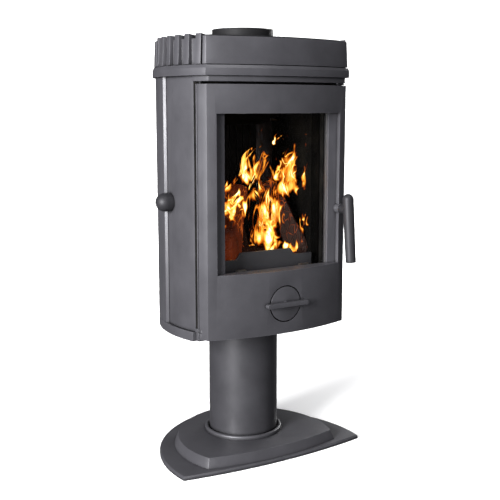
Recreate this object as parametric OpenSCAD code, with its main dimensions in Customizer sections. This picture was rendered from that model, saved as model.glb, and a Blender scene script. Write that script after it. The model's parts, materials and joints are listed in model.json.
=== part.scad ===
// Wood burning stove on a pedestal: a bow-fronted cast body on one round column.
// X is the stove's width, Y runs front to back and Z is up. The origin is on the
// floor, on the axis that the column and the flue spigot share.

/* [Base] */
// Thickness of the shield-shaped base plate
base_t = 10; // [8:1:16]
// Radius of the base plate's two curved sides
base_side_r = 324; // [300:1:350]
// Height of the foot's raised top above the floor
foot_top = 33.5; // [28:0.5:40]
// Depth of the screw heads' recesses under the base plate
screw_sink = 4; // [3:0.5:5]

/* [Column] */
// Outer radius of the column tube
column_r = 88; // [80:1:95]
// Wall of the column tube
column_wall = 4; // [3:0.5:6]
// Outer radius of the collar round the column's foot
collar_r = 100; // [96:1:110]

/* [Body] */
// Height of the body's underside above the floor
body_z = 322; // [300:1:360]
// Height of the body from its underside to the band
body_h = 612; // [560:1:660]
// Radius of the body's two curved sides
side_r = 287; // [270:1:300]
// Radius of the bowed front
front_r = 595; // [500:5:700]
// How far the front's middle stands ahead of the column axis
front_reach = 197; // [190:1:210]
// How far the back stands behind the column axis
rear_reach = 205; // [195:1:215]
// Wall of the cast casing
wall = 7; // [5:0.5:9]
// Height of the rim under the side panels
rim_h = 22; // [16:1:30]

/* [Door] */
// Height of the door
door_h = 585; // [540:1:590]
// Distance from the column axis forward to the door's back face
door_back = 137; // [134:0.5:140]
// Half width of the window's outer opening
window_x = 172; // [160:1:174]
// Height of the window's sill above the floor
window_z = 482; // [470:1:500]
// Height of the window
window_h = 368; // [330:1:372]
// Half width of the glass that shows
sight_x = 145.5; // [130:0.5:146]

/* [Handle] */
// Distance of the handle's spindle to the right of the column axis
handle_x = 176; // [175:0.5:177]
// Height of the handle's spindle above the floor
handle_z = 617; // [560:1:680]
// Radius of the lever at its lower end
lever_r = 13; // [10:0.5:15]
// Length of the lever below the spindle
lever_drop = 130; // [100:1:150]
// Outward lean of the lever in degrees
lever_lean = 5.5; // [0:0.5:8]

/* [Air control] */
// Height of the air control disc above the floor
air_z = 402; // [395:1:410]
// Radius of the air control disc
air_r = 41.5; // [36:0.5:44]
// Half length of the bar across the disc
bar_x = 58; // [50:1:62]
// Number of air holes behind the disc
air_holes = 4; // [3:1:4]

/* [Crown and flue] */
// Height of the band round the body's top
band_h = 22.5; // [18:0.5:28]
// Height of the fascia above the band
fascia_h = 62.5; // [55:0.5:70]
// Number of ribs on each side of the crown
rib_count = 6; // [4:1:7]
// Angle between neighbouring ribs, seen from the side's centre
rib_pitch = 7; // [6.5:0.1:7.5]
// Outer radius of the flue spigot
flue_r = 75; // [60:1:75]
// Wall of the flue spigot
flue_wall = 4; // [3:0.5:5]

/* [Firebox] */
// Height of the grate's top above the floor
grate_z = 468; // [464:1:474]
// Thickness of the side bricks
brick_t = 25; // [20:1:26]
// Number of slots across the grate
grate_slots = 9; // [5:1:11]

/* [Hidden] */
$fn = 180;
eps = 0.01;
far = 400;                  // Beyond the body in any direction, for cutting
fit = 0.3;                  // Gap left between pieces that meet but don't touch
run = 0.05;                 // Radial clearance of a turning shaft

// An outline is [side_shift, side_y, side_r, front_y, front_r, rear_y, rear_r]:
// two side discs set off to the far side, one front disc and one rear disc, which
// only rounds off what lies behind its own centre.
body_line = [63, -36, side_r, -front_reach, front_r, rear_reach, 260];
base_line = [63, -111, base_side_r, -181, 1468, 203, 260];
foot_line = [25, -60, 230, -174, 700, 166, 206];

band_z = body_z + body_h;
crown_z = band_z + band_h;
crown_top = crown_z + fascia_h;
rib_rise = 6;
crown_wall = 15;            // From the body's outline in to the fascia's inner face at the ribs
plate_rise = 4;
flue_top = crown_top + 31;
panel_z = body_z + rim_h + 1;
panel_h = band_z - panel_z - fit;
door_z = body_z + 8;
door_top = door_z + door_h;
frame_face = door_back - 4;
frame_back = frame_face - 12;
land_x = 190;
frame_step = 129;           // Where the front frame's side lands begin, beside its thicker middle
panel_front = 122;
panel_rear = 6;
casing_front = 12;
hinge_x = 196.5;
hinge_y = 142;
hinge_r = 3;
hinge_reach = 18;           // How far each hinge pin reaches into the door
bracket_z = panel_z;
bracket_t = 8;
bracket_nose_r = 5.5;
bracket_screw_r = 2;
bracket_screw_x = [-185, -177];
liner_y = 140.5;            // Middle of the groove in the door's cheeks
ledge_y = 161;
rebate = 6;
rebate_y = 152;
glass_y = 150;
glass_t = 4;
rope_x = 158.5;
rope_z0 = 353;
rope_z1 = 893;
rope_r = 4.2;
mouth_x = 150;
mouth_z0 = 448;
mouth_z1 = 884;
knob_y = -27;
knob_z = body_z + 320;
knob_r = 22;
knob_x = 217.3;
stud_r = 4;
stud_depth = 11;
rail_z = door_top + 6;
clip_x = 90;
clip_t = 2.5;
clip_screw_up = 13;
clip_screw_r = 3;
spindle_r = 5;
lever_y = -206;
cam_r = 11;
cam_t = 5;
cam_back = frame_face - 3;
air_box_x = 148;
air_box_z0 = 366;
air_box_z1 = 456;
skin = 8;                   // Thickness of the door in front of the air box
air_boss_y = -front_reach + 19;
air_plate_y = -front_reach + 7;
air_hole_r = 8;
air_hole_ring_r = 24;
air_spindle_r = 4;
lever_back = door_back + 41.5;
rope_bend = 12;
flange_t = 8;
air_way_r = 45;
bolt_ring = 62;
bolt_r = 5;
bolt_grip = 18;
bolt_head = 7;
bolt_head_r = 9;
nut_h = 8;
foot_screw_r = 3;
baffle_y = 134;
baffle_z = 828;
baffle_tilt = 14;
baffle_t = 20;
peg_r = 3.5;
deck_z = 450;
deck_t = 8;
bed_z = deck_z + deck_t;    // Where the grate, the bricks and the log retainer stand
ash_x = 112;
ash_z = 374;
ash_h = 56;
ash_mouth_x = 118;
brick_x = 140;
tie_front = [178, -98];
tie_rear = [166, 94];
tie_r = 4;
tie_nut_h = 6;
tie_nut_r = 7.5;
seat_z = band_z - 4;        // Top of the roof plate, where the spigot's flange sits
spigot_bolt_out = 12;
spigot_bolt_r = 3;

iron = [0.27, 0.27, 0.29];
dark_iron = [0.17, 0.17, 0.18];
steel = [0.62, 0.62, 0.63];
rope = [0.5, 0.49, 0.46];
brick = [0.72, 0.66, 0.54];

// ---- Shared shapes ----

module cone_disc(x, y, h, r, top_r) {
    translate([x, y, 0]) cylinder(h = h, r1 = r, r2 = top_r);
}

// A block with one of the outlines as its plan. grow moves the plan outward at the
// bottom and top_grow at the top, and front moves the front disc by itself.
module shield(line, z, h, grow = 0, top_grow = undef, front = undef) {
    top = is_undef(top_grow) ? grow : top_grow;
    ahead = is_undef(front) ? grow : front;
    ahead_top = is_undef(front) ? top : front;
    front_c = line[3] + line[4];
    rear_c = line[5] - line[6];
    translate([0, 0, z]) intersection() {
        cone_disc(line[0], line[1], h, line[2] + grow, line[2] + top);
        cone_disc(-line[0], line[1], h, line[2] + grow, line[2] + top);
        cone_disc(0, front_c, h, line[4] + ahead, line[4] + ahead_top);
        union() {
            cone_disc(0, rear_c, h, line[6] + grow, line[6] + top);
            span([-far, -far, 0], [far, rear_c, h]);
        }
    }
}

// A box given by its lowest and highest corners
module span(low, high) {
    translate(low) cube(high - low);
}

// A ring-shaped wall that follows the body's outline
module body_wall(z, h, grow, thick) {
    difference() {
        shield(body_line, z, h, grow);
        shield(body_line, z - eps, h + 2 * eps, grow - thick);
    }
}

// A cylinder along Y, from y0 back to y1
module rod_y(x, z, y0, y1, r) {
    translate([x, y0, z]) rotate([-90, 0, 0]) cylinder(h = y1 - y0, r = r);
}

// A cylinder along X, from x0 to x1
module rod_x(y, z, x0, x1, r) {
    translate([x0, y, z]) rotate([0, 90, 0]) cylinder(h = x1 - x0, r = r);
}

// A hexagonal bolt or nut head, across its corners, upright
module hex(h, r) {
    cylinder(h = h, r = r, $fn = 6);
}

// Repeats its children at equal angles round the Z axis
module ring_of(count, radius, first = 45) {
    for (i = [0 : count - 1]) {
        rotate([0, 0, first + i * 360 / count]) translate([radius, 0, 0]) children();
    }
}

// Repeats its children at the four tie rods
module at_ties() {
    for (s = [-1, 1], p = [tie_front, tie_rear]) translate([s * p[0], p[1], 0]) children();
}

// ---- Base and column ----

module at_foot_screws() {
    for (s = [-1, 1], p = [[140, -110], [115, 20]]) translate([s * p[0], p[1], 0]) children();
}

module base_plate() {
    edge = 3;
    sink_r = 7;
    color(iron) difference() {
        union() {
            shield(base_line, 0, base_t - edge);
            shield(base_line, base_t - edge - eps, edge + eps, 0, -edge);
        }
        at_foot_screws() {
            translate([0, 0, -1]) cylinder(h = base_t + 2, r = foot_screw_r + fit);
            translate([0, 0, -1]) cylinder(h = screw_sink + 1, r = sink_r);
        }
    }
}

module base_foot() {
    slope = 10;
    screw_depth = 15;
    color(iron) difference() {
        shield(foot_line, base_t, foot_top - base_t, 0, -slope);
        ring_of(4, bolt_ring) translate([0, 0, foot_top - bolt_grip])
            cylinder(h = foot_top, r = bolt_r + fit);
        at_foot_screws() translate([0, 0, base_t - 1])
            cylinder(h = screw_depth + 1, r = foot_screw_r + fit);
    }
}

module foot_screws() {
    head = 3.5;
    head_r = 6;
    length = 18;
    color(steel) at_foot_screws() {
        translate([0, 0, screw_sink]) cylinder(h = length, r = foot_screw_r);
        translate([0, 0, screw_sink - head]) cylinder(h = head, r = head_r);
    }
}

module column_collar() {
    lip = (collar_r - column_r - 2) / 2;
    middle = collar_r - lip;
    color(iron) translate([0, 0, foot_top]) rotate_extrude() union() {
        translate([middle - lip, 0]) square([2 * lip, lip]);
        translate([middle, lip]) circle(r = lip, $fn = 48);
    }
}

// The tube slips over the rims of its two flanges.
module pedestal_column() {
    color(iron) difference() {
        translate([0, 0, foot_top]) cylinder(h = body_z - foot_top, r = column_r);
        translate([0, 0, foot_top - 1]) cylinder(h = body_z, r = column_r - column_wall);
    }
}

module column_flange(z) {
    color(iron) difference() {
        translate([0, 0, z]) cylinder(h = flange_t, r = column_r - column_wall);
        translate([0, 0, z - 1]) cylinder(h = flange_t + 2, r = air_way_r);
        ring_of(4, bolt_ring) translate([0, 0, z - 1]) cylinder(h = flange_t + 2, r = bolt_r + fit);
    }
}

module column_flange_lower() {
    column_flange(foot_top);
}

module column_flange_upper() {
    column_flange(body_z - flange_t);
}

// A bolt whose head rests at z = 0 and whose shank hangs below it
module column_bolt(length) {
    translate([0, 0, -length]) cylinder(h = length, r = bolt_r);
    hex(bolt_head, bolt_head_r);
}

module column_bolts_lower() {
    color(steel) ring_of(4, bolt_ring) translate([0, 0, foot_top + flange_t])
        column_bolt(flange_t + bolt_grip - 2);
}

module column_bolts_upper() {
    color(steel) ring_of(4, bolt_ring) translate([0, 0, body_z + flange_t])
        column_bolt(2 * flange_t + nut_h + 3);
}

module column_nuts() {
    color(steel) ring_of(4, bolt_ring) translate([0, 0, body_z - flange_t - nut_h]) difference() {
        hex(nut_h, bolt_head_r);
        translate([0, 0, -1]) cylinder(h = nut_h + 2, r = bolt_r + run);
    }
}

// ---- Casing ----

module behind(y) {
    translate([-far, y, 0]) cube([2 * far, 2 * far, 3 * far]);
}

// Its front wall is narrower than the rim, which leaves room for the door's corner as
// that swings round the hinge.
module hearth_plate() {
    front = frame_step + 1.5;
    rim_t = 10;
    through = flange_t + 2;
    color(iron) difference() {
        union() {
            intersection() {
                shield(body_line, body_z, rim_h);
                behind(-panel_front);
            }
            intersection() {
                shield(body_line, body_z, rim_h, 1 - rim_t);
                behind(-front);
            }
        }
        intersection() {
            shield(body_line, body_z + flange_t, rim_h, -rim_t);
            behind(-front + rim_t);
        }
        translate([0, 0, body_z - 1]) cylinder(h = through, r = air_way_r);
        ring_of(4, bolt_ring) translate([0, 0, body_z - 1]) cylinder(h = through, r = bolt_r + fit);
        at_ties() translate([0, 0, body_z - 1]) cylinder(h = through, r = tie_r + fit);
    }
}

// Lands at both sides stop the view past the door's edges. The left one leaves room
// for the door's corner, and starts above the hinge bracket.
module frame_lands(foot_z) {
    close = 2;
    top = rail_z - 1;
    back = -panel_front - fit;
    intersection() {
        shield(body_line, foot_z, top - foot_z, -4);
        span([land_x - close, -frame_face - close, foot_z], [far, back, top]);
    }
    intersection() {
        shield(body_line, foot_z, top - foot_z, -wall - 1);
        span([-far, -frame_step, bracket_z + bracket_t + 1], [-land_x + close, back, top]);
    }
}

module front_frame() {
    foot_z = panel_z - 1;
    color(iron) difference() {
        union() {
            intersection() {
                shield(body_line, foot_z, panel_h + 1, -wall * 2 - fit);
                span([-far, -frame_step, foot_z], [far, -frame_back, band_z]);
            }
            span([-land_x, -frame_face, foot_z], [land_x, -frame_back, rail_z - 1]);
            frame_lands(foot_z);
        }
        span([-mouth_x, -far, mouth_z0], [mouth_x, 0, mouth_z1]);
        span([-ash_mouth_x, -far, ash_z - 12], [ash_mouth_x, 0, ash_z + ash_h + 8]);
        rod_y(handle_x, handle_z, -far, 0, cam_r + 2);
        for (x = bracket_screw_x)
            rod_y(x, bracket_z + bracket_t / 2, -far, 0, bracket_screw_r + fit);
    }
}

// Closes the gap over the door's free corner. It stays clear of the door as that turns.
module lintel_lip() {
    inset = 5;
    thick = 5;
    from_x = 165;
    lip_z = door_top + 1;
    intersection() {
        difference() {
            shield(body_line, lip_z, rail_z + 1 - lip_z, -inset);
            shield(body_line, lip_z - 1, rail_z + 3 - lip_z, -inset - thick);
        }
        span([from_x, -far, lip_z], [far, -door_back, rail_z + 1]);
    }
}

// A hollow rail over the door. Its ends reach back to the side panels, and the upper
// hinge pin sits in its left end.
module lintel() {
    inset = 3;
    thick = 8;
    back = frame_step + fit;
    high = band_z - rail_z - fit;
    color(iron) union() {
        lintel_lip();
        difference() {
            intersection() {
                shield(body_line, rail_z, high, -inset, undef, 0);
                span([-far, -far, rail_z], [far, -panel_front - fit, band_z]);
            }
            intersection() {
                shield(body_line, rail_z - 1, high - thick / 2, -inset - thick, undef, -thick);
                span([-far, -far, rail_z - 1], [far, -frame_face - 6, band_z]);
            }
            intersection() {
                shield(body_line, rail_z - 1, high + 2, -inset - thick);
                span([-far, -back, rail_z - 1], [far, 0, band_z]);
            }
            translate([-hinge_x, -hinge_y, rail_z - 1]) cylinder(h = hinge_reach / 2 + 1, r = hinge_r);
        }
    }
}

module side_panel(s) {
    color(iron) difference() {
        intersection() {
            body_wall(panel_z, panel_h, -wall, wall);
            span([s < 0 ? -far : 0, -panel_front, panel_z], [s < 0 ? 0 : far, panel_rear, band_z]);
        }
        rod_x(knob_y, knob_z, -far, far, stud_r + 1);
    }
}

module side_panel_left() {
    side_panel(-1);
}

module side_panel_right() {
    side_panel(1);
}

// The casing laps over the side panels, and its front edges slope down to them.
module rear_casing() {
    out = 90;
    color(iron) difference() {
        intersection() {
            body_wall(panel_z, panel_h, 0, wall - fit);
            translate([0, 0, panel_z]) linear_extrude(height = panel_h) polygon([
                [-knob_x, -casing_front], [knob_x, -casing_front],
                [knob_x + out, out - casing_front], [knob_x + out, far],
                [-knob_x - out, far], [-knob_x - out, out - casing_front]
            ]);
        }
        rod_x(knob_y, knob_z, -far, far, knob_r + 0.5);
    }
}

module side_knob() {
    waist = 15;
    rod_x(knob_y, knob_z, 0, waist, knob_r);
    translate([waist, knob_y, knob_z]) intersection() {
        sphere(r = knob_r);
        span([-1, -knob_r, -knob_r], [knob_r, knob_r, knob_r]);
    }
}

module side_knobs() {
    color(iron) for (s = [0, 1]) mirror([s, 0, 0]) translate([knob_x, 0, 0]) difference() {
        side_knob();
        rod_x(knob_y, knob_z, -1, stud_depth + 1, stud_r + run);
    }
}

module knob_studs() {
    color(steel) for (s = [0, 1]) mirror([s, 0, 0]) {
        rod_x(knob_y, knob_z, knob_x - 20, knob_x + stud_depth, stud_r);
        translate([knob_x - 8, knob_y, knob_z]) rotate([0, -90, 0]) hex(5, 2 * stud_r);
    }
}

module tie_rods() {
    below = 8;
    color(steel) at_ties() translate([0, 0, body_z - below])
        cylinder(h = seat_z + tie_nut_h + 2 - body_z + below, r = tie_r);
}

module tie_rod_nuts() {
    color(steel) at_ties() for (z = [body_z - tie_nut_h, seat_z]) translate([0, 0, z]) difference() {
        hex(tie_nut_h, tie_nut_r);
        translate([0, 0, -1]) cylinder(h = tie_nut_h + 2, r = tie_r + run);
    }
}

module roof_plate() {
    thick = 8;
    low = seat_z - thick;
    color(dark_iron) difference() {
        intersection() {
            shield(body_line, low, thick, -2 * wall - 1);
            behind(-frame_back + fit);
        }
        translate([0, 0, low - 1]) cylinder(h = thick + 2, r = flue_r - flue_wall);
        at_ties() translate([0, 0, low - 1]) cylinder(h = thick + 2, r = tie_r + fit);
        ring_of(4, flue_r + spigot_bolt_out) translate([0, 0, low - 1])
            cylinder(h = thick + 2, r = spigot_bolt_r + fit);
    }
}

// ---- Top ----

module top_plate() {
    slope = 6.5;
    proud = 7;
    color(iron) difference() {
        union() {
            shield(body_line, band_z, band_h - slope, proud);
            shield(body_line, band_z + band_h - slope - eps, slope + eps, proud, 4);
        }
        shield(body_line, band_z - 1, band_h - slope + 1, -2 * wall);
        translate([0, 0, band_z]) cylinder(h = band_h + 1, r = flue_r + 2);
    }
}

// Where a side's ribs stand: angles from straight out to the side, seen from the
// centre of that side's disc. The first is nearest the front.
rib_w = 15;
rib_first = 22.5;
rib_angle = [for (i = [0 : rib_count - 1]) rib_first - i * rib_pitch];
bay_front = rib_first + 2.4;
bay_rear = rib_first - rib_count * rib_pitch + 3.6;

// A wedge of the left side between two of those angles
module side_wedge(z, h, a0, a1) {
    translate([body_line[0], body_line[1], z]) linear_extrude(height = h)
        polygon([[0, 0], far * [-cos(a0), -sin(a0)], far * [-cos(a1), -sin(a1)]]);
}

module rib(angle) {
    foot_r = side_r - 16;
    tip_r = side_r + 3;
    rise = fascia_h + rib_rise;
    translate([body_line[0], body_line[1], crown_z]) rotate([0, 0, angle])
        translate([0, rib_w / 2, 0]) rotate([90, 0, 0]) linear_extrude(height = rib_w)
            polygon([[-foot_r, 0], [-tip_r, 0], [-tip_r + 3, rise], [-foot_r, fascia_h + plate_rise]]);
}

module crown_side() {
    intersection() {
        difference() {
            shield(body_line, crown_z, fascia_h - 4, -8);
            shield(body_line, crown_z - 1, fascia_h + 2, -crown_wall);
        }
        side_wedge(crown_z, fascia_h + 9, bay_front, bay_rear);
    }
    for (a = rib_angle) rib(a);
}

// It stands on the band with a narrow shadow gap under its outer face.
module crown_fascia() {
    gap = 2;
    color(iron) difference() {
        union() {
            difference() {
                shield(body_line, crown_z, fascia_h, 3, 0);
                shield(body_line, crown_z - 1, fascia_h + 2, -8);
                side_wedge(crown_z - 1, fascia_h + 9, bay_front, bay_rear);
                mirror([1, 0, 0]) side_wedge(crown_z - 1, fascia_h + 9, bay_front, bay_rear);
            }
            crown_side();
            mirror([1, 0, 0]) crown_side();
        }
        difference() {
            shield(body_line, crown_z - 1, gap + 1, 12);
            shield(body_line, crown_z - 2, gap + 3, -1);
        }
    }
}

module crown_plate() {
    gap = 1.5;
    low = crown_top - plate_rise;
    color(dark_iron) difference() {
        shield(body_line, low, 2 * plate_rise, -crown_wall - gap);
        translate([0, 0, low - 1]) cylinder(h = 2 * plate_rise + 2, r = flue_r + 2);
    }
}

// The crown plate lies on four posts.
module crown_posts() {
    color(dark_iron) for (s = [-1, 1], p = [[180, -95], [140, 100]])
        translate([s * p[0], p[1], crown_z]) cylinder(h = fascia_h - plate_rise, r = 7);
}

module flue_spigot() {
    flange = 6;
    flange_out = 22;
    collar_z = crown_top + plate_rise + 0.5;
    color(dark_iron) difference() {
        union() {
            translate([0, 0, seat_z]) cylinder(h = flue_top - seat_z, r = flue_r - 1);
            translate([0, 0, seat_z]) cylinder(h = flange, r = flue_r + flange_out);
            translate([0, 0, collar_z]) cylinder(h = flue_top - collar_z, r = flue_r);
        }
        translate([0, 0, seat_z - 1]) cylinder(h = far, r = flue_r - flue_wall);
        ring_of(4, flue_r + spigot_bolt_out) translate([0, 0, seat_z - 1])
            cylinder(h = flange + 2, r = spigot_bolt_r + fit);
    }
}

module spigot_bolts() {
    length = 16;
    head_z = seat_z + 6;
    color(steel) ring_of(4, flue_r + spigot_bolt_out) {
        translate([0, 0, head_z - length]) cylinder(h = length, r = spigot_bolt_r);
        translate([0, 0, head_z]) hex(5, 2 * spigot_bolt_r);
    }
}

// ---- Firebox ----

module firebox_deck() {
    hole_x = 104;
    hole_y = 84;
    color(dark_iron) difference() {
        intersection() {
            shield(body_line, deck_z, deck_t, -2 * wall - 1);
            behind(-frame_back + fit);
        }
        span([-hole_x, -hole_y, deck_z - 1], [hole_x, hole_y, deck_z + deck_t + 1]);
        at_ties() translate([0, 0, deck_z - 1]) cylinder(h = deck_t + 2, r = tie_r + 1);
    }
}

module grate() {
    half_x = 110;
    half_y = 90;
    edge = 14;
    slot = 10;
    bridge = 6;
    pitch = 2 * (half_x - edge) / grate_slots;
    color(dark_iron) difference() {
        span([-half_x, -half_y, bed_z], [half_x, half_y, grate_z]);
        for (i = [0 : grate_slots - 1], s = [-1, 1]) {
            x = -half_x + edge + (i + 0.5) * pitch;
            y0 = s < 0 ? -half_y + edge : bridge / 2;
            y1 = s < 0 ? -bridge / 2 : half_y - edge;
            span([x - slot / 2, y0, bed_z - 1], [x + slot / 2, y1, grate_z + 1]);
        }
    }
}

// A low plate behind the glass, with a raised middle
module log_retainer() {
    half = 136;
    low = 44;
    high = 60;
    color(dark_iron) translate([0, -102, bed_z + fit]) rotate([90, 0, 0])
        linear_extrude(height = 8) union() {
            translate([-half, 0]) square([2 * half, low]);
            polygon([[-84, low - 1], [84, low - 1], [84, low], [72, high], [-72, high], [-84, low]]);
        }
}

module side_brick(s) {
    low = bed_z + fit;
    x0 = s < 0 ? -brick_x - brick_t : brick_x;
    color(brick) difference() {
        span([x0, -98, low], [x0 + brick_t, 82, low + 414]);
        at_pegs() rod_x(0, 0, x0 - 1, x0 + brick_t + 1, peg_r + fit);
    }
}

module brick_left() {
    side_brick(-1);
}

module brick_right() {
    side_brick(1);
}

// An upright plate with grooves in its face
module fireback() {
    low = bed_z + fit;
    half = 125;
    high = 390;
    front = 138;
    thick = 12;
    groove = 8;
    margin = 20;
    color(dark_iron) difference() {
        span([-half, front, low], [half, front + thick, low + high]);
        for (i = [-5 : 5])
            span([i * margin - groove / 2, front - 1, low + margin],
                 [i * margin + groove / 2, front + thick / 3, low + high - margin]);
    }
}

// The baffle rises towards the door from its back edge. The pegs that it lies on
// are just under its lower face.
module baffle_plate() {
    half = 132;
    deep = 190;
    color(brick) translate([0, baffle_y, baffle_z]) rotate([-baffle_tilt, 0, 0])
        span([-half, -deep, -baffle_t / 2], [half, 0, baffle_t / 2]);
}

module at_pegs() {
    for (along = [70, 170]) translate([0, baffle_y, baffle_z]) rotate([-baffle_tilt, 0, 0])
        translate([0, -along, -baffle_t / 2 - peg_r - fit]) children();
}

module baffle_pegs() {
    color(steel) at_pegs() for (s = [0, 1]) mirror([s, 0, 0])
        rod_x(0, 0, brick_x - 16, brick_x + brick_t + 4, peg_r);
}

module ash_pan() {
    sheet = 2;
    front = 112;
    back = 96;
    grip_x = 30;
    grip_z = ash_z + ash_h / 2;
    color(dark_iron) union() {
        difference() {
            span([-ash_x, -front, ash_z], [ash_x, back, ash_z + ash_h]);
            span([-ash_x + sheet, -front + sheet, ash_z + sheet],
                 [ash_x - sheet, back - sheet, ash_z + ash_h + 1]);
        }
        span([-grip_x, -front - 7, grip_z], [grip_x, -front + sheet / 2, grip_z + 4]);
    }
}

// Two angle rails that hang from the deck and carry the ash pan
module ash_pan_rails() {
    ledge = 16;
    front = 120;
    back = 100;
    low = ash_z - 10;
    color(steel) for (s = [0, 1]) mirror([s, 0, 0]) difference() {
        span([ash_x - ledge, -front, low], [ash_x + 18, back, deck_z]);
        span([0, -front - 1, ash_z - fit], [ash_x + 12, back + 1, deck_z + 1]);
    }
}

// ---- Hinge and catch on the body ----

// The lower hinge bracket: a nose under the door's pin bore, a leaf that shows in the
// gap in front of the side panel, and a tail screwed to the front frame.
module hinge_bracket() {
    leaf_x = 204.5;
    leaf_in = 196.3;
    tail_x = 172;
    tail_y = frame_face + 3;
    waist_x = hinge_x + 3.2;
    color(iron) translate([0, 0, bracket_z]) difference() {
        union() {
            translate([-hinge_x, -hinge_y, 0]) cylinder(h = bracket_t, r = bracket_nose_r);
            linear_extrude(height = bracket_t) polygon([
                [-waist_x, -hinge_y + 1], [-waist_x, -hinge_y + 9.5], [-leaf_x, -frame_step - 0.5],
                [-leaf_x - 1, -panel_front - 0.4], [-leaf_in, -panel_front - 0.4],
                [-leaf_in, -frame_step - fit], [-land_x - eps, -frame_step - fit],
                [-land_x - eps, -frame_face], [-tail_x, -frame_face], [-tail_x, -tail_y],
                [-land_x, -tail_y], [-hinge_x + 3.8, -hinge_y + 1]
            ]);
        }
        translate([-hinge_x, -hinge_y, -1]) cylinder(h = bracket_t + 2, r = hinge_r);
        for (x = bracket_screw_x) rod_y(x, bracket_t / 2, -far, 0, bracket_screw_r);
    }
}

module bracket_screws() {
    color(steel) for (x = bracket_screw_x)
        rod_y(x, bracket_z + bracket_t / 2, -frame_face - 3, -frame_back - 3, bracket_screw_r);
}

module hinge_pins() {
    low = bracket_z;
    high = door_top - hinge_reach;
    color(steel) translate([-hinge_x, -hinge_y, 0]) {
        translate([0, 0, low]) cylinder(h = bracket_t + hinge_reach, r = hinge_r);
        translate([0, 0, high]) cylinder(h = rail_z + hinge_reach / 2 - high, r = hinge_r);
    }
}

// A plate behind the frame, with the hole that the cam turns in
module catch_keeper() {
    half_x = 15;
    half_z = 30;
    color(steel) difference() {
        span([handle_x - half_x, -frame_back, handle_z - half_z],
             [handle_x + half_x, -frame_back + 6, handle_z + half_z]);
        rod_y(handle_x, handle_z, -far, 0, cam_r + 1);
    }
}

// ---- Door ----

module door_blank() {
    intersection() {
        shield(body_line, door_z, door_h);
        span([-far, -far, door_z], [far, -door_back, door_top]);
    }
}

// A fine groove down both cheeks, where the door's liner meets its front
module cheek_groove() {
    half = 1;
    deep = 2;
    difference() {
        span([-far, -liner_y - half, door_z - 1], [far, -liner_y + half, door_top + 1]);
        shield(body_line, door_z - 2, door_h + 4, -deep);
    }
}

// Room for the lower hinge bracket, and the bores that both hinge pins run in
module hinge_cuts() {
    room = 1.3;
    bore = hinge_reach + 1;
    axis = [-hinge_x, -hinge_y, 0];
    span([-far, -hinge_y - bracket_nose_r - 0.8, bracket_z - room],
         [-hinge_x + 2 * bracket_nose_r, 0, bracket_z + bracket_t + room]);
    translate(axis + [0, 0, bracket_z + bracket_t]) cylinder(h = bore, r = hinge_r + run);
    translate(axis + [0, 0, door_top - bore]) cylinder(h = bore + 1, r = hinge_r + run);
}

// The window's outer recess, the opening behind it and the rebate for the glass
module window_cut() {
    top = window_z + window_h;
    span([-window_x, -far, window_z], [window_x, -ledge_y, top]);
    span([-sight_x, -ledge_y - 1, window_z], [sight_x, 0, top]);
    span([-sight_x - rebate, -rebate_y, window_z - rebate], [sight_x + rebate, 0, top + rebate]);
}

// The air box cast into the door's back under the window
module air_box() {
    intersection() {
        shield(body_line, door_z, door_h, -skin);
        span([-air_box_x, -far, air_box_z0], [air_box_x, 0, air_box_z1]);
    }
}

// A rectangle of round rope in the XZ plane, with rounded corners
module rope_loop(x, z0, z1, r, bend) {
    for (z = [z0, z1]) rod_x(0, z, -x + bend, x - bend, r);
    for (s = [-1, 1]) translate([s * x, 0, z0 + bend]) cylinder(h = z1 - z0 - 2 * bend, r = r);
    for (c = [[-1, z1, 90], [-1, z0, 180], [1, z0, 270], [1, z1, 0]])
        translate([c[0] * (x - bend), 0, c[1] == z0 ? z0 + bend : z1 - bend])
            rotate([90, 0, 0]) rotate([0, 0, c[2]]) rotate_extrude(angle = 90)
                translate([bend, 0]) circle(r = r, $fn = 48);
}

module air_hole_ring(y0, y1) {
    for (i = [0 : air_holes - 1]) {
        a = 45 + i * 360 / air_holes;
        rod_y(air_hole_ring_r * cos(a), air_z + air_hole_ring_r * sin(a), y0, y1, air_hole_r);
    }
}

module door_rope(r) {
    translate([0, -door_back - 0.5, 0]) rope_loop(rope_x, rope_z0, rope_z1, r, rope_bend);
}

module door_frame() {
    groove = 3.2;
    color(iron) difference() {
        union() {
            difference() {
                door_blank();
                window_cut();
                air_box();
            }
            rod_y(0, air_z, -front_reach + 4, air_boss_y, air_r + 10);
            rod_y(handle_x, handle_z, -lever_back + 0.5, -door_back - skin, 12);
        }
        door_rope(rope_r + fit);
        rod_y(0, air_z, -front_reach - 5, air_plate_y + 1, air_r + groove);
        rod_y(0, air_z, -front_reach, 0, air_spindle_r + run);
        air_hole_ring(-front_reach, 0);
        rod_y(handle_x, handle_z, -far, 0, spindle_r + run);
        cheek_groove();
        hinge_cuts();
    }
}

module door_rope_seal() {
    color(rope) door_rope(rope_r);
}

module glass_tape_seal() {
    x = sight_x + rebate - 0.5;
    past = rebate - 0.5;
    lap = 1;
    top = window_z + window_h;
    color(rope) difference() {
        span([-x, -rebate_y, window_z - past], [x, -glass_y, top + past]);
        span([-sight_x - lap, -far, window_z - lap], [sight_x + lap, 0, top + lap]);
    }
}

module door_glass() {
    x = sight_x + rebate - 1;
    past = rebate - 1;
    color([0.1, 0.1, 0.1, 0.3])
        span([-x, -glass_y, window_z - past], [x, -glass_y + glass_t, window_z + window_h + past]);
}

// A clip lies on the door's back and its foot presses on the glass. up is 1 for the
// upper pair and -1 for the lower pair.
module at_clips() {
    for (s = [-1, 1]) {
        translate([s * clip_x, 0, window_z + window_h]) children();
        translate([s * clip_x, 0, window_z]) mirror([0, 0, 1]) children();
    }
}

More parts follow.
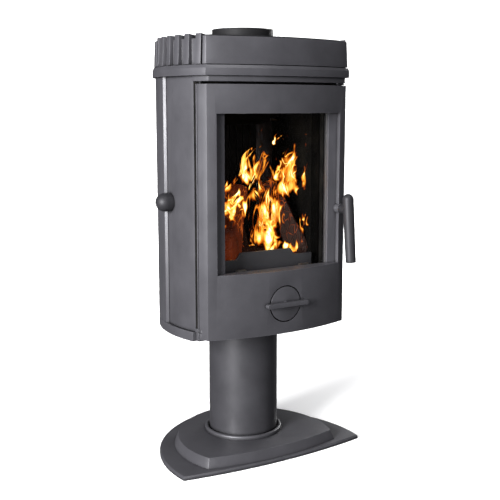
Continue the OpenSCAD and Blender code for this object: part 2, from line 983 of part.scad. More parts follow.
module glass_clips() {
    glass_back = -glass_y + glass_t;
    half = 12;
    long = 20;
    color(steel) at_clips() difference() {
        union() {
            span([-half, -door_back, -1], [half, -door_back + clip_t, long]);
            span([-half, glass_back, -1], [half, -door_back, 4]);
        }
        rod_y(0, clip_screw_up, -far, 0, clip_screw_r + fit);
    }
}

module clip_screws() {
    color(steel) at_clips() {
        rod_y(0, clip_screw_up, -door_back, -door_back + clip_t, clip_screw_r);
        rod_y(0, clip_screw_up, -door_back + clip_t, -door_back + clip_t + 3, clip_screw_r + 2);
    }
}

// ---- Handle ----

// The lever hangs from the spindle, leans outward and has a round top.
module handle_lever() {
    top_r = lever_r + 0.8;
    above = 25;
    length = lever_drop + above;
    edge = 2;
    color(iron) difference() {
        union() {
            translate([handle_x, lever_y, handle_z]) rotate([-lever_lean, 0, 0]) union() {
                translate([0, 0, -lever_drop + edge])
                    cylinder(h = length - edge, r1 = lever_r, r2 = top_r);
                translate([0, 0, -lever_drop])
                    cylinder(h = edge + eps, r1 = lever_r - edge, r2 = lever_r);
                translate([0, 0, above]) sphere(r = top_r);
            }
            rod_y(handle_x, handle_z, lever_y, -lever_back, 2 * spindle_r + 0.5);
        }
        rod_y(handle_x, handle_z, lever_y, 0, spindle_r);
    }
}

module handle_spindle() {
    color(steel) rod_y(handle_x, handle_z, lever_y, -cam_back + cam_t + 1, spindle_r);
}

// The cam's nose turns behind the keeper as the lever swings down.
module latch_cam() {
    nose = 12;
    color(steel) translate([handle_x, -cam_back - cam_t, handle_z]) rotate([-90, 0, 0]) difference() {
        linear_extrude(height = cam_t) union() {
            circle(r = cam_r - 3);
            intersection() {
                circle(r = cam_r);
                translate([0, -nose / 2]) square([cam_r, nose]);
            }
        }
        translate([0, 0, -1]) cylinder(h = cam_t + 2, r = spindle_r);
    }
}

module cam_nut() {
    color(steel) translate([handle_x, -cam_back + fit, handle_z]) rotate([-90, 0, 0]) difference() {
        hex(cam_t, 8.5);
        translate([0, 0, -1]) cylinder(h = cam_t + 2, r = spindle_r);
    }
}

// ---- Air control ----

// A round plate with a grip bar that stands just off its face
module air_disc() {
    face = -front_reach + 0.5;
    bar_back = -front_reach - 1;
    bar_front = bar_back - 13;
    bar_h = 5;
    end_x = bar_x - bar_h;
    color(iron) difference() {
        union() {
            rod_y(0, air_z, face, air_plate_y, air_r);
            rod_y(0, air_z, bar_back - 1, face + 1, bar_h + 2);
            span([-end_x, bar_front, air_z - bar_h], [end_x, bar_back, air_z + bar_h]);
            for (s = [-1, 1]) rod_y(s * end_x, air_z, bar_front, bar_back, bar_h);
            span([-air_r + 6, bar_back - 1, air_z - 3], [air_r - 6, face + 1, air_z + 3]);
        }
        rod_y(0, air_z, -front_reach - 4, 0, air_spindle_r);
    }
}

module air_spindle() {
    color(steel) rod_y(0, air_z, -front_reach - 4, air_boss_y + 11, air_spindle_r);
}

module air_shutter() {
    front = air_boss_y + fit;
    thick = 3;
    color(dark_iron) difference() {
        rod_y(0, air_z, front, front + thick, air_hole_ring_r + air_hole_r + 3);
        rod_y(0, air_z, front - 1, front + thick + 1, air_spindle_r);
        air_hole_ring(front - 1, front + thick + 1);
    }
}

module air_nut() {
    front = air_boss_y + fit + 3;
    color(steel) translate([0, front, air_z]) rotate([-90, 0, 0]) difference() {
        hex(6, 2 * air_spindle_r);
        translate([0, 0, -1]) cylinder(h = 8, r = air_spindle_r);
    }
}

base_plate();
base_foot();
foot_screws();
column_collar();
pedestal_column();
column_flange_lower();
column_flange_upper();
column_bolts_lower();
column_bolts_upper();
column_nuts();
hearth_plate();
front_frame();
lintel();
side_panel_left();
side_panel_right();
rear_casing();
side_knobs();
knob_studs();
tie_rods();
tie_rod_nuts();
roof_plate();
top_plate();
crown_fascia();
crown_plate();
crown_posts();
flue_spigot();
spigot_bolts();
firebox_deck();
grate();
log_retainer();
brick_left();
brick_right();
fireback();
baffle_plate();
baffle_pegs();
ash_pan();
ash_pan_rails();
hinge_bracket();
bracket_screws();
hinge_pins();
catch_keeper();
door_frame();
door_rope_seal();
glass_tape_seal();
door_glass();
glass_clips();
clip_screws();
handle_lever();
handle_spindle();
latch_cam();
cam_nut();
air_disc();
air_spindle();
air_shutter();
air_nut();
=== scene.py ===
import json
import math
import random

import bmesh
import bpy
from mathutils import Matrix, Vector, noise


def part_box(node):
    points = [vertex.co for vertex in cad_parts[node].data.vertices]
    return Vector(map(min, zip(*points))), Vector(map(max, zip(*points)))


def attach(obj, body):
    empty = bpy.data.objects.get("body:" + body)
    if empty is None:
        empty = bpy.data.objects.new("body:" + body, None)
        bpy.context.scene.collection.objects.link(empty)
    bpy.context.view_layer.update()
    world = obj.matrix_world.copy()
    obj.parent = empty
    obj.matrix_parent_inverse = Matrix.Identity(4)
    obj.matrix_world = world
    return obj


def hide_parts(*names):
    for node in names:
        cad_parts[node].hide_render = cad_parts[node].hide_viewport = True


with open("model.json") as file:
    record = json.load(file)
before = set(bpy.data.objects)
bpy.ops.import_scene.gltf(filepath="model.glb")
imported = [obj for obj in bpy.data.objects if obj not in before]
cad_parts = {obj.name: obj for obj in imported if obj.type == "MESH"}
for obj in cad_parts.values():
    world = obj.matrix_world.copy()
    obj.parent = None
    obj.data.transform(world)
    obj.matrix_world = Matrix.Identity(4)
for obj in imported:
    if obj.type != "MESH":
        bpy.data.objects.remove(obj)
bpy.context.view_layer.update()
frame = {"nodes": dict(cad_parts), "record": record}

# Wood burning stove on a pedestal, with a log fire behind the glass.
# Everything is in metres, in the CAD frame: X right, Y back, Z up from the floor.

NODES = frame["nodes"]
BODY_OF = {n: body for body, nodes in frame["record"]["behaviour"]["bodies"].items() for n in nodes}
SLOT_OF = {row["node"]: row["material_slot"] for row in frame["record"]["subparts"]}


# ---- Node materials ----

def new_material(name):
    """An empty node material and its output node."""
    material = bpy.data.materials.new(name)
    material.use_nodes = True
    material.node_tree.nodes.clear()
    output = material.node_tree.nodes.new("ShaderNodeOutputMaterial")
    return material, output


def put(material, kind, inputs=None, **settings):
    """Adds a node. An input's value is a plain value or another node's output."""
    node = material.node_tree.nodes.new("ShaderNode" + kind)
    for key, value in settings.items():
        setattr(node, key, value)
    for key, value in (inputs or {}).items():
        if isinstance(value, bpy.types.NodeSocket):
            material.node_tree.links.new(value, node.inputs[key])
        else:
            node.inputs[key].default_value = value
    return node


def coords(material, scale=(1, 1, 1)):
    """Object coordinates in metres, stretched if a scale is given."""
    source = put(material, "TexCoord").outputs["Object"]
    if tuple(scale) == (1, 1, 1):
        return source
    return put(material, "Mapping", {"Vector": source, "Scale": scale}).outputs["Vector"]


def grain(material, vector, scale, detail=3.0, rough=0.55, warp=0.0):
    """A noise value from 0 to 1. scale is in cells per metre."""
    inputs = {"Vector": vector, "Scale": scale, "Detail": detail, "Roughness": rough, "Distortion": warp}
    return put(material, "TexNoise", inputs).outputs["Fac"]


def remap(material, value, low, high, to_low=0.0, to_high=1.0):
    """A value between low and high moved to between to_low and to_high."""
    inputs = {"Value": value, "From Min": low, "From Max": high, "To Min": to_low, "To Max": to_high}
    return put(material, "MapRange", inputs).outputs["Result"]


def blend_colours(material, factor, first, second):
    """first where factor is 0 and second where it is 1; either may be a colour or a socket."""
    node = put(material, "Mix", data_type="RGBA")
    for index, value in ((0, factor), (6, first), (7, second)):
        if isinstance(value, bpy.types.NodeSocket):
            material.node_tree.links.new(value, node.inputs[index])
        else:
            node.inputs[index].default_value = value
    return node.outputs[2]


def ramp(material, value, stops):
    """A colour ramp. stops are (place, colour)."""
    node = put(material, "ValToRGB", {"Fac": value})
    elements = node.color_ramp.elements
    while len(elements) < len(stops):
        elements.new(0.5)
    for element, (place, colour) in zip(elements, stops):
        element.position = place
        element.color = colour
    return node.outputs["Color"]


def bump(material, height, strength, distance, normal=None):
    """A normal from a height map. distance is the relief's depth in metres."""
    inputs = {"Height": height, "Strength": strength, "Distance": distance}
    if normal is not None:
        inputs["Normal"] = normal
    return put(material, "Bump", inputs).outputs["Normal"]


def finish_material(material, output, shader):
    material.node_tree.links.new(shader, output.inputs["Surface"])
    return material


def grey(value, tint=0.0):
    """A grey colour, made a little more violet by tint."""
    return (value * (1 + 0.2 * tint), value, value * (1 + 1.3 * tint), 1.0)


def sum_of(material, first, second, operation="ADD"):
    """The sum, product or other operation of two values."""
    node = put(material, "Math", operation=operation)
    for index, value in enumerate((first, second)):
        if isinstance(value, bpy.types.NodeSocket):
            material.node_tree.links.new(value, node.inputs[index])
        else:
            node.inputs[index].default_value = value
    return node.outputs[0]


def crevices(material, reach):
    """1 on open faces, falling towards 0 in corners and narrow gaps."""
    return put(material, "AmbientOcclusion", {"Distance": reach}, samples=6).outputs["AO"]


def edge_wear_and_highlight(material, radius):
    """1 along edges, 0 on flat faces."""
    turned = put(material, "Bevel", {"Radius": radius}, samples=4).outputs["Normal"]
    flat = put(material, "NewGeometry").outputs["Normal"]
    match = put(material, "VectorMath", {0: turned, 1: flat}, operation="DOT_PRODUCT").outputs["Value"]
    return remap(material, match, 0.95, 0.76)


def cast_iron(name, shade, tint=0.1, rough=0.44, relief=1.0, gloss=0.38):
    """Sand-cast iron under thin stove paint: fine grain, faint clouds, painted shade in corners and narrow
    gaps, and open edges lightened by paint wear and a painted highlight.
    """
    seam_reach = 0.009
    edge_width = 0.0022
    speck_amount = 0.35
    material, output = new_material(name)
    where = coords(material)
    clouds = grain(material, where, scale=14, detail=4.0, rough=0.6)
    fine = grain(material, where, scale=1100, detail=2.0, rough=0.7)
    sand = grain(material, where, scale=420, detail=3.0, rough=0.6)
    swell = grain(material, where, scale=34, detail=2.0, rough=0.5)
    cloudy = remap(material, clouds, 0.3, 0.7)
    colour = blend_colours(material, cloudy, grey(shade * 0.88, tint), grey(shade * 1.1, tint))
    speck = remap(material, fine, 0.62, 0.75)
    speckled = sum_of(material, speck, speck_amount, "MULTIPLY")
    colour = blend_colours(material, speckled, colour, grey(shade * 2.1, tint))
    open_air = crevices(material, seam_reach)
    edges = edge_wear_and_highlight(material, edge_width)
    scuffed_and_highlit = sum_of(material, edges, remap(material, open_air, 0.7, 0.95), "MULTIPLY")
    patchy_wear_and_highlight = sum_of(material, scuffed_and_highlit, remap(material, sand, 0.35, 0.6, 0.25, 0.75), "MULTIPLY")
    # Paint wear and a painted highlight: open edges are lightened to a pale grey, patchy with the sand
    # noise.
    colour = blend_colours(material, patchy_wear_and_highlight, colour, grey(shade * 2.6, tint))
    # Painted shade: the ambient occlusion darkens corners, seams and narrow gaps towards near black.
    colour = blend_colours(material, remap(material, open_air, 0.3, 0.88), grey(shade * 0.12, tint), colour)
    roughness = remap(material, sum_of(material, clouds, sand), 0.6, 1.4, rough - 0.06, rough + 0.08)
    normal = bump(material, swell, 0.25 * relief, 0.0012)
    normal = bump(material, sand, 0.35 * relief, 0.00035, normal)
    normal = bump(material, fine, 0.3 * relief, 0.00015, normal)
    inputs = {"Base Color": colour, "Roughness": roughness, "Normal": normal,
              "Metallic": 0.3, "Specular IOR Level": gloss}
    shader = put(material, "BsdfPrincipled", inputs)
    return finish_material(material, output, shader.outputs["BSDF"])


def soot():
    """Flat black soot on the plates inside the firebox and under the crown."""
    material, output = new_material("soot")
    where = coords(material)
    flakes = grain(material, where, scale=160, detail=4.0, rough=0.65)
    scale = grain(material, where, scale=24, detail=3.0)
    colour = blend_colours(material, remap(material, scale, 0.35, 0.7), (0.002, 0.002, 0.002, 1),
                           (0.007, 0.0065, 0.006, 1))
    inputs = {"Base Color": colour, "Roughness": remap(material, flakes, 0.3, 0.7, 0.75, 0.95),
              "Normal": bump(material, flakes, 0.5, 0.0006), "Specular IOR Level": 0.06}
    shader = put(material, "BsdfPrincipled", inputs)
    return finish_material(material, output, shader.outputs["BSDF"])


def machined_steel():
    """Plain turned and cut steel, lightly oxidised by heat."""
    material, output = new_material("machined_steel")
    where = coords(material)
    heat = grain(material, where, scale=45, detail=3.0)
    lines = grain(material, coords(material, (1, 1, 14)), scale=500, detail=2.0)
    colour = blend_colours(material, remap(material, heat, 0.35, 0.7),
                           (0.26, 0.25, 0.24, 1), (0.14, 0.115, 0.095, 1))
    inputs = {"Base Color": colour, "Roughness": remap(material, lines, 0.3, 0.7, 0.3, 0.48),
              "Normal": bump(material, lines, 0.2, 0.0001), "Metallic": 0.95}
    shader = put(material, "BsdfPrincipled", inputs)
    return finish_material(material, output, shader.outputs["BSDF"])


def glass_rope():
    """Knitted glass-fibre rope: small slanted loops in grey."""
    material, output = new_material("glass_rope")
    where = coords(material)
    knit = put(material, "TexWave", {"Vector": where, "Scale": 210.0, "Distortion": 3.0, "Detail": 1.0,
                                     "Detail Scale": 2.0}, bands_direction="DIAGONAL").outputs["Fac"]
    fuzz = grain(material, where, scale=1500, detail=2.0)
    colour = blend_colours(material, knit, (0.035, 0.033, 0.031, 1), (0.17, 0.165, 0.155, 1))
    normal = bump(material, sum_of(material, knit, fuzz), 0.6, 0.0006)
    inputs = {"Base Color": colour, "Roughness": 0.92, "Normal": normal, "Sheen Weight": 0.2}
    shader = put(material, "BsdfPrincipled", inputs)
    return finish_material(material, output, shader.outputs["BSDF"])


def sooted_brick():
    """Pressed mineral board, crumbly and almost black with soot."""
    material, output = new_material("sooted_brick")
    where = coords(material)
    flakes = put(material, "TexVoronoi", {"Vector": where, "Scale": 320.0}).outputs["Distance"]
    grime = grain(material, where, scale=11, detail=4.0, rough=0.6)
    board = blend_colours(material, flakes, (0.03, 0.024, 0.018, 1), (0.06, 0.05, 0.037, 1))
    black = remap(material, grime, 0.25, 0.5, 0.86, 1.0)
    colour = blend_colours(material, black, board, (0.002, 0.0018, 0.0016, 1))
    normal = bump(material, sum_of(material, flakes, grime), 0.5, 0.0012)
    inputs = {"Base Color": colour, "Roughness": 0.95, "Normal": normal, "Specular IOR Level": 0.03}
    shader = put(material, "BsdfPrincipled", inputs)
    return finish_material(material, output, shader.outputs["BSDF"])


def clear_glass():
    """A thin clear pane: lets light straight through and mirrors a little, more at a low angle."""
    material, output = new_material("clear_glass")
    haze = grain(material, coords(material), scale=6, detail=4.0, rough=0.6)
    tint = blend_colours(material, haze, (0.93, 0.93, 0.92, 1), (0.97, 0.97, 0.965, 1))
    through = put(material, "BsdfTransparent", {"Color": tint}).outputs["BSDF"]
    mirror = put(material, "BsdfGlossy", {"Color": (1, 1, 1, 1), "Roughness": 0.03}).outputs["BSDF"]
    edge_on = put(material, "Fresnel", {"IOR": 1.2}).outputs["Fac"]
    edge_on = sum_of(material, edge_on, 0.25, "MULTIPLY")
    mixed = put(material, "MixShader", {0: edge_on, 1: through, 2: mirror})
    return finish_material(material, output, mixed.outputs["Shader"])


PAINTS = {
    "anthracite_cast_iron": cast_iron("anthracite_paint", shade=0.04),
    "dark_cast_iron": soot(),
    "painted_column": cast_iron("anthracite_column_paint", shade=0.029, rough=0.4, relief=0.5),
    "steel_fittings": machined_steel(),
    "rope_seal": glass_rope(),
    "fire_brick": sooted_brick(),
    "door_glass": clear_glass(),
}


def paint(piece, material):
    piece.data.materials.clear()
    piece.data.materials.append(material)


for node_name, node_object in NODES.items():
    paint(node_object, PAINTS[SLOT_OF[node_name]])

# The lever and knobs, the parts at the flue and the hinge pins are darker and duller.
darker_duller = cast_iron("darker_duller_iron", shade=0.018, rough=0.5, relief=0.6, gloss=0.2)
top_black = cast_iron("flue_black", shade=0.009, tint=0.06, rough=0.6, gloss=0.12)
for node_name in ("handle_lever", "side_knobs"):
    paint(NODES[node_name], darker_duller)
for node_name in ("flue_spigot", "crown_plate", "hinge_pins"):
    paint(NODES[node_name], top_black)


# ---- Cast pieces with rounded edges ----

def linked(name, mesh):
    """A new object with that mesh, in the scene."""
    piece = bpy.data.objects.new(name, mesh)
    bpy.context.scene.collection.objects.link(piece)
    return piece


def smooth_faces(mesh, angle=32):
    """Smooth shading, kept sharp where two faces meet at more than angle degrees."""
    mesh.polygons.foreach_set("use_smooth", [True] * len(mesh.polygons))
    mesh.set_sharp_from_angle(angle=math.radians(angle))


def rounded(name, width, segments=3, angle=28):
    """A copy of a CAD node with its hard edges rounded, which stands for the node."""
    same_point = 2e-6
    flat = math.radians(0.4)
    mesh = NODES[name].data.copy()
    form = bmesh.new()
    form.from_mesh(mesh)
    bmesh.ops.remove_doubles(form, verts=form.verts, dist=same_point)
    bmesh.ops.dissolve_limit(form, angle_limit=flat, verts=form.verts, edges=form.edges)
    sharp = [e for e in form.edges
             if len(e.link_faces) == 2 and e.calc_face_angle(0) > math.radians(angle)]
    bmesh.ops.bevel(form, geom=sharp, offset=width, offset_type="OFFSET", segments=segments, profile=0.5,
                    affect="EDGES", clamp_overlap=True, miter_outer="ARC")
    bmesh.ops.triangulate(form, faces=[f for f in form.faces if len(f.verts) > 4])
    form.to_mesh(mesh)
    form.free()
    piece = linked(name + "_cast", mesh)
    smooth_faces(mesh)
    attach(piece, BODY_OF[name])
    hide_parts(name)
    return piece


ROUNDING = {
    "base_plate": 0.0018, "base_foot": 0.0025, "hearth_plate": 0.0016, "lintel": 0.0012,
    "side_panel_left": 0.0012, "side_panel_right": 0.0012, "rear_casing": 0.0014,
    "top_plate": 0.0016, "crown_fascia": 0.0013, "crown_plate": 0.0014, "flue_spigot": 0.0012,
    "door_frame": 0.0016, "handle_lever": 0.0012, "air_disc": 0.001,
    "log_retainer": 0.0016, "grate": 0.0015, "ash_pan": 0.0006,
}
for node_name, edge_width in ROUNDING.items():
    rounded(node_name, edge_width)


# ---- Fire ----

FIRE_GAP = 0.004
BED_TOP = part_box("grate")[1][2]
FIRE_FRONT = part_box("log_retainer")[1][1] + FIRE_GAP
FIRE_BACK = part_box("fireback")[0][1] - 1.5 * FIRE_GAP
FIRE_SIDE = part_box("brick_right")[0][0] - FIRE_GAP


def fire_colours(material, heat):
    """The colour of fire from a dull red to a yellow white."""
    return ramp(material, heat, [(0.0, (0.18, 0.008, 0.0, 1)), (0.25, (0.75, 0.09, 0.004, 1)),
                                 (0.5, (1.0, 0.32, 0.02, 1)), (0.72, (1.0, 0.66, 0.12, 1)),
                                 (1.0, (1.0, 0.96, 0.62, 1))])


def flame_light():
    """Burning gas: bright twisting threads in a thin sheet that fades out at all its edges."""
    material, output = new_material("flame")
    where = coords(material, (1.0, 1.0, 0.42))
    split = put(material, "SeparateXYZ", {"Vector": put(material, "TexCoord").outputs["UV"]})
    across, up = split.outputs["X"], split.outputs["Y"]
    body = remap(material, sum_of(material, sum_of(material, across, 0.5, "SUBTRACT"), 2.0, "POWER"),
                 0.0, 0.25, 1.0, -0.15)
    fade = sum_of(material, sum_of(material, 1.0, up, "SUBTRACT"), 0.7, "POWER")
    folds = grain(material, where, scale=20, detail=1.6, rough=0.5, warp=0.9)
    threads = grain(material, where, scale=27, detail=1.0, rough=0.5, warp=1.1)
    ridge = sum_of(material, sum_of(material, threads, 0.5, "SUBTRACT"), 0.0, "ABSOLUTE")
    ridge = remap(material, ridge, 0.0, 0.07, 1.0, 0.0)
    heat = sum_of(material, sum_of(material, body, fade, "MULTIPLY"), 0.75, "MULTIPLY")
    heat = sum_of(material, heat, remap(material, folds, 0.36, 0.64, -0.8, 0.2))
    heat = sum_of(material, heat, sum_of(material, ridge, 0.42, "MULTIPLY"))
    heat = sum_of(material, heat, remap(material, up, 0.0, 0.2, -1.1, 0.0))
    inputs = {"Base Color": (0, 0, 0, 1), "Roughness": 1.0, "Specular IOR Level": 0.0,
              "Emission Color": fire_colours(material, remap(material, heat, 0.05, 0.95)),
              "Emission Strength": remap(material, heat, 0.1, 0.9, 0.7, 2.6),
              "Alpha": remap(material, heat, 0.2, 0.6, 0.0, 0.92)}
    shader = put(material, "BsdfPrincipled", inputs)
    return finish_material(material, output, shader.outputs["BSDF"])


def burning_wood(name, bark, glow):
    """Split firewood, charred into small blocks with embers showing in the cracks."""
    material, output = new_material(name)
    where = coords(material, (1.0, 1.0, 0.45))
    blocks = put(material, "TexVoronoi", {"Vector": where, "Scale": 85.0, "Randomness": 0.9},
                 feature="DISTANCE_TO_EDGE").outputs["Distance"]
    fibres = grain(material, coords(material, (1.0, 1.0, 0.12)), scale=260, detail=3.0, rough=0.6)
    burnt = grain(material, where, scale=15, detail=3.0, rough=0.6, warp=0.6)
    char = remap(material, burnt, 0.36, 0.6)
    wood = blend_colours(material, fibres, tuple(0.35 * c for c in bark) + (1,), tuple(bark) + (1,))
    colour = blend_colours(material, char, wood, (0.011, 0.009, 0.008, 1))
    crack = remap(material, blocks, 0.0, 0.06, 1.0, 0.0)
    patch = remap(material, grain(material, where, scale=19, detail=2.0, rough=0.5, warp=1.2), 0.5, 0.74)
    ember = sum_of(material, crack, patch, "MULTIPLY")
    normal = bump(material, remap(material, blocks, 0.0, 0.12), 0.7, 0.003)
    normal = bump(material, fibres, 0.4, 0.0008, normal)
    strength = sum_of(material, sum_of(material, ember, 1.6, "MULTIPLY"),
                      sum_of(material, remap(material, burnt, 0.7, 0.3, 0.15, 1.0), glow, "MULTIPLY"))
    lit = blend_colours(material, ember, (0.55, 0.07, 0.012, 1), (1.0, 0.26, 0.03, 1))
    inputs = {"Base Color": colour, "Roughness": 0.85, "Normal": normal, "Specular IOR Level": 0.2,
              "Emission Color": lit, "Emission Strength": strength}
    shader = put(material, "BsdfPrincipled", inputs)
    return finish_material(material, output, shader.outputs["BSDF"])


def glowing_coal():
    """Coals under a dusting of ash, brightest in their hollows."""
    material, output = new_material("glowing_coal")
    where = coords(material)
    pits = grain(material, where, scale=75, detail=4.0, rough=0.6, warp=0.8)
    ash = grain(material, where, scale=240, detail=3.0, rough=0.6)
    colour = blend_colours(material, remap(material, ash, 0.4, 0.65), (0.012, 0.01, 0.009, 1),
                           (0.16, 0.145, 0.13, 1))
    heat = remap(material, pits, 0.62, 0.38)
    inputs = {"Base Color": colour, "Roughness": 0.95, "Normal": bump(material, ash, 0.6, 0.001),
              "Emission Color": fire_colours(material, remap(material, heat, 0.0, 1.0, 0.0, 0.6)),
              "Emission Strength": remap(material, heat, 0.35, 1.0, 0.0, 1.5)}
    shader = put(material, "BsdfPrincipled", inputs)
    return finish_material(material, output, shader.outputs["BSDF"])


def in_fire(piece, material):
    """A piece of the fire rides on the stove and gets its material."""
    paint(piece, material)
    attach(piece, "stove")
    return piece


def split_log(name, foot, head, radius, turn, taper, material, seed):
    """A split log from foot to head: a bark arc, two cleft faces and rough ends. taper thins its head."""
    rings = 46
    sides = 36
    cleft = 0.85
    cleft_depth = 0.3
    end_round = 0.006
    bow_depth = 0.12
    foot = Vector(foot)
    head = Vector(head)
    aim = (head - foot).to_track_quat("Z", "Y").to_matrix()
    length = (head - foot).length
    shift = Vector((seed * 3.1, seed * 1.7, seed * 5.3))
    form = bmesh.new()
    loops = []
    for i in range(rings + 1):
        along = i / rings
        end = min(along, 1 - along) * length / end_round
        size = radius * (0.86 + 0.14 * min(1.0, end)) * (1.0 - taper * along)
        loop = []
        for k in range(sides):
            angle = 2 * math.pi * k / sides
            reach = size
            for face in (math.pi - cleft, math.pi + cleft):
                lean = math.cos(angle - face)
                if lean > 0.05:
                    reach = min(reach, cleft_depth * size / lean)
            spot = Vector((math.cos(angle), math.sin(angle), along * length / radius * 0.35))
            rough = noise.noise(spot * 1.6 + shift) * 0.13
            ridges = noise.noise(Vector((spot.x * 5, spot.y * 5, spot.z * 1.5)) + shift) * 0.07
            reach *= 1 + rough + ridges
            bow = Vector((0, radius * bow_depth * math.sin(math.pi * along), 0))
            flat = Vector((reach * math.cos(angle + turn), reach * math.sin(angle + turn), along * length))
            loop.append(form.verts.new(foot + aim @ (flat + bow)))
        loops.append(loop)
    for low, high in zip(loops, loops[1:]):
        for k in range(sides):
            nxt = (k + 1) % sides
            form.faces.new((low[k], low[nxt], high[nxt], high[k]))
    for loop, flip in ((loops[0], True), (loops[-1], False)):
        middle = form.verts.new(sum((v.co for v in loop), Vector()) / sides)
        for k in range(sides):
            pair = (loop[(k + 1) % sides], loop[k]) if flip else (loop[k], loop[(k + 1) % sides])
            form.faces.new((middle,) + pair)
    mesh = bpy.data.meshes.new(name)
    form.to_mesh(mesh)
    form.free()
    smooth_faces(mesh, 40)
    return in_fire(linked(name, mesh), material)


def coal_bed(name, count, rnd):
    """A heap of small broken coals on the grate, highest along its middle."""
    half_width = 0.1
    front = -0.082
    back = 0.08
    heap = 0.018
    roughness = 0.32
    form = bmesh.new()
    for _ in range(count):
        x = rnd.uniform(-half_width, half_width)
        y = rnd.uniform(front, back)
        size = rnd.uniform(0.009, 0.019)
        rise = heap * (1 - (x / (1.2 * half_width)) ** 2) * rnd.uniform(0.2, 1.0)
        turn = Matrix.Rotation(rnd.uniform(0, 6.28), 4, "Z") @ Matrix.Rotation(rnd.uniform(0, 3.1), 4, "X")
        stretch = Matrix.Diagonal((1.0, rnd.uniform(0.6, 1.0), rnd.uniform(0.55, 0.8), 1.0))
        place = Matrix.Translation((x, y, BED_TOP + size * 0.6 + rise)) @ turn @ stretch
        made = bmesh.ops.create_icosphere(form, subdivisions=2, radius=size, matrix=place)
        for v in made["verts"]:
            pull = noise.noise(v.co * 95) * roughness * size
            v.co += (v.co - place.translation).normalized() * pull
    mesh = bpy.data.meshes.new(name)
    form.to_mesh(mesh)
    form.free()
    smooth_faces(mesh, 35)
    return in_fire(linked(name, mesh), glowing_coal())


def add_flame(form, uv, foot, height, width, lean, yaw, rnd):
    """One tongue of flame: a curved sheet that sways, twists and narrows to its tip."""
    across = 8
    up = 26
    sway_rate = 7.5
    depth_rate = 6
    cupping = 0.3
    phase = rnd.uniform(0, 6.28)
    sway = width * rnd.uniform(0.35, 0.7)
    twist = rnd.uniform(-1.1, 1.1)
    rows = []
    for j in range(up + 1):
        v = j / up
        wave = math.sin(phase + v * sway_rate) * sway * v
        depth = 0.4 * sway * math.cos(phase + v * depth_rate) * v
        middle = Vector((foot[0] + lean * v ** 1.4 + wave, foot[1] + depth, foot[2] + height * v))
        half = 0.5 * width * (0.5 + 0.9 * math.sin(math.pi * min(1.0, v + 0.22))) * (1 - v ** 2.2)
        turn = yaw + twist * v
        side = Vector((math.cos(turn), math.sin(turn), 0.25 * math.sin(phase + 5 * v)))
        out = Vector((-side.y, side.x, 0))
        row = []
        for i in range(across + 1):
            u = i / across
            cup = cupping * half * math.cos(math.pi * (u - 0.5))
            row.append(form.verts.new(middle + side * half * (2 * u - 1) + out * cup))
        rows.append(row)
    for j in range(up):
        for i in range(across):
            face = form.faces.new((rows[j][i], rows[j][i + 1], rows[j + 1][i + 1], rows[j + 1][i]))
            corners = ((i, j), (i + 1, j), (i + 1, j + 1), (i, j + 1))
            for loop, (a, b) in zip(face.loops, corners):
                loop[uv].uv = (a / across, b / up)


def flames(name, low, high, tall, wide, lean, count, material, rnd):
    """A group of flames that start at random between two corners and stay inside the firebox."""
    form = bmesh.new()
    uv = form.loops.layers.uv.new("UVMap")
    for _ in range(count):
        foot = [rnd.uniform(a, b) for a, b in zip(low, high)]
        add_flame(form, uv, foot, rnd.uniform(*tall), rnd.uniform(*wide), lean * rnd.uniform(0.4, 1.3),
                  rnd.uniform(-0.6, 0.9), rnd)
    for v in form.verts:
        v.co.x = max(-FIRE_SIDE, min(FIRE_SIDE, v.co.x))
        v.co.y = max(FIRE_FRONT, min(FIRE_BACK, v.co.y))
    mesh = bpy.data.meshes.new(name)
    form.to_mesh(mesh)
    form.free()
    smooth_faces(mesh, 180)
    piece = in_fire(linked(name, mesh), material)
    piece.visible_shadow = False
    piece.visible_diffuse = False
    return piece


brown_log = burning_wood("brown_log", (0.16, 0.035, 0.012), 0.2)
black_log = burning_wood("black_log", (0.022, 0.011, 0.008), 0.02)
split_log("log_left", foot=(-0.06, -0.05, 0.488), head=(-0.012, -0.02, 0.668), radius=0.052,
          turn=0.9, taper=0.42, material=brown_log, seed=1)
split_log("log_right", foot=(0.12, -0.058, 0.488), head=(0.04, -0.03, 0.672), radius=0.04,
          turn=2.0, taper=0.2, material=black_log, seed=2)
split_log("log_back", foot=(0.012, 0.05, 0.49), head=(-0.03, 0.085, 0.655), radius=0.038,
          turn=0.4, taper=0.1, material=black_log, seed=3)
split_log("log_low", foot=(-0.05, 0.005, 0.497), head=(0.1, 0.012, 0.502), radius=0.024,
          turn=4.0, taper=0.1, material=black_log, seed=4)

fire_random = random.Random(11)
coal_bed("ember_bed", 95, fire_random)
flame = flame_light()
flames("flames_left", low=(-0.125, -0.099, 0.535), high=(-0.075, -0.08, 0.61), tall=(0.09, 0.13),
       wide=(0.036, 0.058), lean=0.035, count=10, material=flame, rnd=fire_random)
flames("flames_core", low=(-0.022, -0.097, 0.495), high=(0.042, -0.078, 0.585), tall=(0.15, 0.215),
       wide=(0.036, 0.06), lean=-0.008, count=16, material=flame, rnd=fire_random)
flames("flames_tall", low=(-0.045, -0.08, 0.66), high=(0.0, -0.05, 0.695), tall=(0.1, 0.14),
       wide=(0.034, 0.055), lean=0.085, count=7, material=flame, rnd=fire_random)
flames("flames_right", low=(0.04, -0.095, 0.62), high=(0.115, -0.07, 0.675), tall=(0.09, 0.15),
       wide=(0.038, 0.062), lean=0.06, count=11, material=flame, rnd=fire_random)
flames("flames_low", low=(0.118, -0.1, 0.51), high=(0.135, -0.095, 0.56), tall=(0.045, 0.085),
       wide=(0.016, 0.028), lean=-0.01, count=6, material=flame, rnd=fire_random)
flames("flames_edge", low=(-0.03, -0.1, 0.495), high=(0.1, -0.097, 0.505), tall=(0.04, 0.065),
       wide=(0.014, 0.024), lean=0.006, count=7, material=flame, rnd=fire_random)
flames("flame_sparks", low=(-0.03, -0.095, 0.76), high=(0.13, -0.08, 0.83), tall=(0.014, 0.026),
       wide=(0.008, 0.013), lean=0.012, count=6, material=flame, rnd=fire_random)


# ---- Studio ----

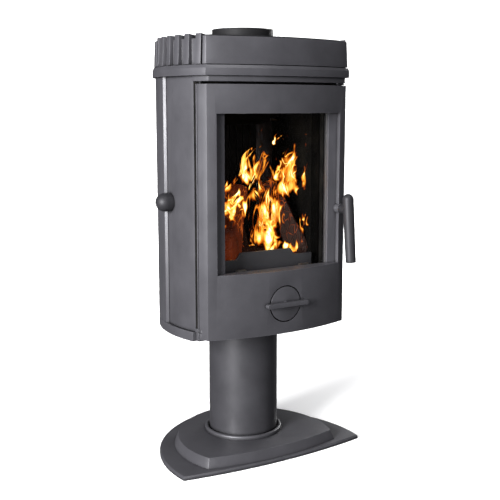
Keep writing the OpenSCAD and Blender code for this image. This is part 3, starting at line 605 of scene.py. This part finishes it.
def camera_at(place, yaw, pitch, lens):
    """A level camera that looks yaw degrees to the right of +Y and pitch degrees down."""
    data = bpy.data.cameras.new("camera")
    data.sensor_width = 36
    data.lens = lens
    data.clip_start = 0.05
    camera = bpy.data.objects.new("camera", data)
    camera.location = place
    camera.rotation_euler = (math.radians(90 - pitch), 0, math.radians(-yaw))
    bpy.context.scene.collection.objects.link(camera)
    bpy.context.scene.camera = camera


def soft_box(name, place, target, width, height, power):
    """A rectangular area light that faces target."""
    data = bpy.data.lights.new(name, "AREA")
    data.shape = "RECTANGLE"
    data.size = width
    data.size_y = height
    data.energy = power
    light = bpy.data.objects.new(name, data)
    light.location = place
    light.rotation_euler = (Vector(target) - Vector(place)).to_track_quat("-Z", "Y").to_euler()
    bpy.context.scene.collection.objects.link(light)


def stage_floor():
    """A round pale floor whose rim sweeps up into a wall on every side. No light bounces off it."""
    rings = 44
    sides = 72
    flat = 4.0
    curve = 3.2
    own_glow = 0.2
    form = bmesh.new()
    centre = form.verts.new((0, 0, 0))
    loops = []
    for i in range(1, rings + 1):
        reach = i / rings
        out = flat * reach * 2 if reach < 0.5 else flat
        turn = max(0.0, reach - 0.5) * math.pi
        radius = out + curve * math.sin(turn)
        height = curve * (1 - math.cos(turn))
        loops.append([form.verts.new((radius * math.cos(a), radius * math.sin(a), height))
                      for a in (2 * math.pi * k / sides for k in range(sides))])
    for k in range(sides):
        form.faces.new((centre, loops[0][k], loops[0][(k + 1) % sides]))
    for inner, outer in zip(loops, loops[1:]):
        for k in range(sides):
            nxt = (k + 1) % sides
            form.faces.new((inner[k], outer[k], outer[nxt], inner[nxt]))
    mesh = bpy.data.meshes.new("stage_floor")
    form.to_mesh(mesh)
    form.free()
    smooth_faces(mesh)
    floor = linked("stage_floor", mesh)
    material, output = new_material("pale_floor")
    tone = grain(material, coords(material), scale=3, detail=2.0)
    colour = blend_colours(material, tone, (0.9, 0.9, 0.9, 1), (0.92, 0.92, 0.92, 1))
    shader = put(material, "BsdfPrincipled", {"Base Color": colour, "Roughness": 0.9,
                                              "Specular IOR Level": 0.1, "Emission Color": (1, 1, 1, 1),
                                              "Emission Strength": own_glow})
    paint(floor, finish_material(material, output, shader.outputs["BSDF"]))
    floor.visible_diffuse = False
    floor.visible_glossy = False


def studio_sky():
    """Bright in front and to the left, dim behind and to the right."""
    bright_side = (-0.7, -0.7, 0.1)
    world = bpy.data.worlds.new("studio")
    bpy.context.scene.world = world
    world.use_nodes = True
    world.node_tree.nodes.clear()
    output = world.node_tree.nodes.new("ShaderNodeOutputWorld")
    aim = put(world, "TexCoord").outputs["Generated"]
    side = put(world, "VectorMath", {0: aim, 1: bright_side}, operation="DOT_PRODUCT").outputs["Value"]
    light = ramp(world, side, [(0.1, (0.14, 0.14, 0.15, 1)), (0.95, (0.42, 0.42, 0.43, 1))])
    sky = put(world, "Background", {"Color": light})
    world.node_tree.links.new(sky.outputs["Background"], output.inputs["Surface"])


camera_at(place=(-1.1474, -1.8992, 0.8675), yaw=31.6, pitch=9.3, lens=63.5)
soft_box("key", place=(-3.1, -1.45, 1.25), target=(0, 0, 0.65), width=1.2, height=1.6, power=520)
soft_box("front", place=(-1.5, -3.3, 1.5), target=(0, 0, 0.85), width=1.3, height=0.9, power=27)
soft_box("top", place=(0.1, -1.05, 3.0), target=(0, -0.1, 0.2), width=1.2, height=1.0, power=32)
soft_box("rear", place=(3.3, 1.7, 1.4), target=(0, 0, 0.6), width=1.0, height=1.6, power=70)
soft_box("backdrop", place=(1.3, 1.9, 2.6), target=(3.0, 4.6, 0.2), width=2.6, height=1.2, power=280)
stage_floor()
studio_sky()
bpy.context.scene.view_settings.view_transform = "Standard"
